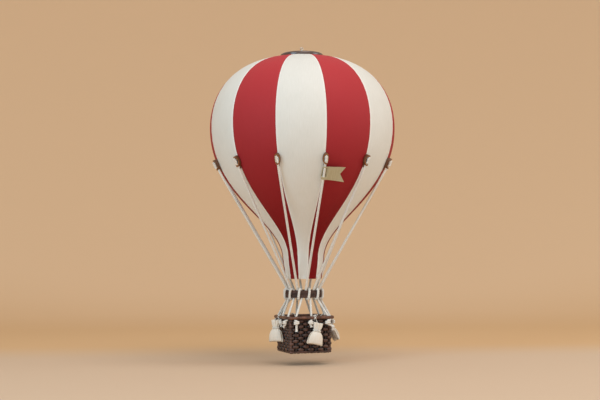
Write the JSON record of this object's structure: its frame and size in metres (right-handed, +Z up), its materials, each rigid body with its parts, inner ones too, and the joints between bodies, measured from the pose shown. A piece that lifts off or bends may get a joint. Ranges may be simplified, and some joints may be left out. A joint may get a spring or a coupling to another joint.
{
  "type": "decorative model of a hot air balloon",
  "caption": "Small hanging model balloon: a hollow shell in red and white cotton gores, with cords from leather loops through a load ring to a wicker basket with swinging sand bags.",
  "frame": {"origin": "where the hanging thread bears in the eye on top of the crown disc", "axes": "+Z up along the balloon's axis, the basket's front side faces -Y and its sides are square to X and Y"},
  "size_m": [0.1996, 0.1996, 0.3305],
  "materials": {
    "moulded_shell": "matt moulded",
    "cotton_white": "plain-woven cotton",
    "cotton_red": "plain-woven cotton",
    "stained_wood": "stained and waxed",
    "steel_wire": "drawn wire",
    "brown_leather": "dark face with orange-brown cut edges",
    "twisted_cotton": "twisted cotton cord",
    "wound_fibre": "wound with thin dark splint",
    "dark_wicker": "woven and stained",
    "rim_rods": "bent rods, stained",
    "cream_canvas": "plain-woven canvas",
    "thin_twine": "thin cotton twine",
    "flag_linen": "beige linen"
  },
  "bodies": {
    "balloon": {"envelope_shell": "moulded_shell", "gore_01_white": "cotton_white", "gore_02_red": "cotton_red", "gore_03_white": "cotton_white", "gore_04_red": "cotton_red", "gore_05_white": "cotton_white", "gore_06_red": "cotton_red", "gore_07_white": "cotton_white", "gore_08_red": "cotton_red", "gore_09_white": "cotton_white", "gore_10_red": "cotton_red", "gore_11_white": "cotton_white", "gore_12_red": "cotton_red", "crown_disc": "stained_wood", "hanging_eye": "steel_wire", "leather_loop_01": "brown_leather", "leather_loop_02": "brown_leather", "leather_loop_03": "brown_leather", "leather_loop_04": "brown_leather", "leather_loop_05": "brown_leather", "leather_loop_06": "brown_leather", "leather_loop_07": "brown_leather", "leather_loop_08": "brown_leather", "leather_loop_09": "brown_leather", "leather_loop_10": "brown_leather", "leather_loop_11": "brown_leather", "leather_loop_12": "brown_leather", "suspension_cord_01": "twisted_cotton", "suspension_cord_02": "twisted_cotton", "suspension_cord_03": "twisted_cotton", "suspension_cord_04": "twisted_cotton", "suspension_cord_05": "twisted_cotton", "suspension_cord_06": "twisted_cotton", "suspension_cord_07": "twisted_cotton", "suspension_cord_08": "twisted_cotton", "suspension_cord_09": "twisted_cotton", "suspension_cord_10": "twisted_cotton", "suspension_cord_11": "twisted_cotton", "suspension_cord_12": "twisted_cotton", "load_ring": "wound_fibre", "basket_body": "dark_wicker", "basket_rim": "rim_rods", "flag": "flag_linen"},
    "bag_front": {"sand_bag_front": "cream_canvas", "bag_string_front": "thin_twine"},
    "bag_right": {"sand_bag_right": "cream_canvas", "bag_string_right": "thin_twine"},
    "bag_back": {"sand_bag_back": "cream_canvas", "bag_string_back": "thin_twine"},
    "bag_left": {"sand_bag_left": "cream_canvas", "bag_string_left": "thin_twine"}
  },
  "joints": [
    {"name": "bag_front_swing", "type": "hinge", "parent": "balloon", "child": "bag_front", "pos_m": [0, -0.02415, -0.2921], "axis": [-1, 0, 0], "range_deg": [0, 75]},
    {"name": "bag_right_swing", "type": "hinge", "parent": "balloon", "child": "bag_right", "pos_m": [0.02415, 0, -0.2921], "axis": [0, -1, 0], "range_deg": [0, 56]},
    {"name": "bag_back_swing", "type": "hinge", "parent": "balloon", "child": "bag_back", "pos_m": [0, 0.02415, -0.2921], "axis": [1, 0, 0], "range_deg": [0, 75]},
    {"name": "bag_left_swing", "type": "hinge", "parent": "balloon", "child": "bag_left", "pos_m": [-0.02415, 0, -0.2921], "axis": [0, 1, 0], "range_deg": [0, 75]}
  ]
}
